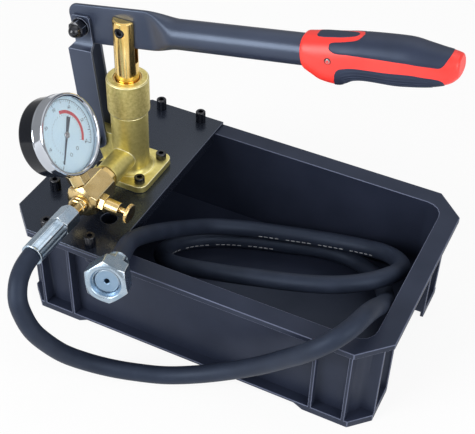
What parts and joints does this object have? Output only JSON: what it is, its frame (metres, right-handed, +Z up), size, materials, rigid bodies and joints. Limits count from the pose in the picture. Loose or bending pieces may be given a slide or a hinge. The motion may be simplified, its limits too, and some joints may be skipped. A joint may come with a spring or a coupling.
{
  "type": "hydrostatic test pump",
  "caption": "Hand-operated hydrostatic test pump: black plastic tank, brass cylinder with lever and red grip, pressure gauge, release valve and high-pressure hose.",
  "frame": {"origin": "centre of the tank's footprint on the floor", "axes": "+X from the pump end to the grip end, +Y away from the gauge and hose side, +Z up"},
  "size_m": [0.34, 0.2966, 0.302],
  "materials": {
    "black_plastic": "moulded black plastic, fine matt grain",
    "black_steel": "semi-gloss black coated steel",
    "screw_black": "black oxide steel, oiled",
    "cast_brass": "machined and cast brass, slightly dulled",
    "bright_brass": "bright turned brass",
    "zinc": "bright zinc-plated steel",
    "chrome": "polished chromed steel",
    "steel": "ground steel",
    "glass": "clear flat glass",
    "dial_white": "white printed dial plate",
    "needle_black": "black painted brass sheet",
    "rubber_black": "soft black rubber",
    "hose_rubber": "smooth black hose cover",
    "grip_red": "red moulded plastic, satin",
    "seal_white": "white packing"
  },
  "bodies": {
    "frame": {"tank": "black_plastic", "suction_strainer": "black_plastic", "top_plate": "black_steel", "pump_body": "cast_brass", "gland_nut": "cast_brass", "manifold_body": "cast_brass", "wiper_ring": "bright_brass", "suction_valve_seat": "bright_brass", "outlet_nut": "bright_brass", "hose_adapter": "bright_brass", "release_bonnet": "bright_brass", "gauge_stem": "bright_brass", "gauge_tube": "bright_brass", "gauge_movement": "bright_brass", "gauge_case": "chrome", "gauge_bezel": "chrome", "gauge_glass": "glass", "gauge_dial": "dial_white", "suction_ball": "steel", "discharge_ball": "steel", "gland_packing": "seal_white", "hose": "hose_rubber", "hose_inlet_nut": "zinc", "hose_inlet_ferrule": "zinc", "hose_end_ferrule": "zinc", "hose_end_nipple": "zinc", "ear_pin": "screw_black", "ear_pin_nut": "screw_black", "plate_screw_1": "screw_black", "plate_screw_2": "screw_black", "plate_screw_3": "screw_black", "plate_screw_4": "screw_black", "plate_screw_5": "screw_black", "plate_screw_6": "screw_black", "flange_screw_1": "screw_black", "flange_screw_2": "screw_black", "flange_screw_3": "screw_black", "flange_screw_4": "screw_black"},
    "link": {"link_strap_front": "black_steel", "link_strap_rear": "black_steel", "fulcrum_bolt": "screw_black", "fulcrum_washer": "screw_black", "fulcrum_cap_nut": "screw_black"},
    "lever": {"lever_tube": "black_steel", "grip_shell": "grip_red", "grip_top_pad": "rubber_black", "grip_thumb_pad": "rubber_black", "grip_finger_pad_front": "rubber_black", "grip_finger_pad_rear": "rubber_black", "grip_screw": "screw_black"},
    "plunger": {"plunger": "bright_brass", "plunger_pin": "screw_black", "piston_seal": "rubber_black"},
    "valve_spindle": {"release_spindle": "bright_brass"},
    "valve_knob": {"release_knob": "bright_brass"},
    "needle": {"gauge_needle": "needle_black"},
    "swivel": {"swivel_nut": "zinc"}
  },
  "joints": [
    {"name": "link_swing", "type": "hinge", "parent": "frame", "child": "link", "pos_m": [-0.1368, 0.004, 0.1323], "axis": [0, -1, 0], "range_deg": [-2.5, 2.5]},
    {"name": "lever_swing", "type": "hinge", "parent": "link", "child": "lever", "pos_m": [-0.14755, 0.004, 0.23635], "axis": [0, -1, 0], "range_deg": [-28, 28]},
    {"name": "plunger_stroke", "type": "slide", "parent": "frame", "child": "plunger", "axis": [0, 0, 1], "range_m": [-0.019, 0.019]},
    {"name": "release_screw", "type": "slide", "parent": "frame", "child": "valve_spindle", "axis": [0.9969, 0, -0.0785], "range_m": [0, 0.0021]},
    {"name": "release_turn", "type": "hinge", "parent": "valve_spindle", "child": "valve_knob", "pos_m": [-0.109, -0.067, 0.1206], "axis": [0.9969, 0, -0.0785], "range_deg": [0, 720]},
    {"name": "needle_turn", "type": "hinge", "parent": "frame", "child": "needle", "pos_m": [-0.13423, -0.067, 0.17349], "axis": [-0.9026, 0, -0.4305], "range_deg": [0, 270]},
    {"name": "swivel_turn", "type": "hinge", "parent": "frame", "child": "swivel", "pos_m": [-0.04458, -0.13804, 0.11901], "axis": [0.259, -0.9351, 0.242], "continuous": true}
  ],
  "couplings": [
    {"joint": "link_swing", "follows": "lever_swing", "ratio": -0.0581},
    {"joint": "plunger_stroke", "follows": "lever_swing", "m_per_rad": 0.03585},
    {"joint": "release_screw", "follows": "release_turn", "m_per_rad": 0.000159}
  ]
}
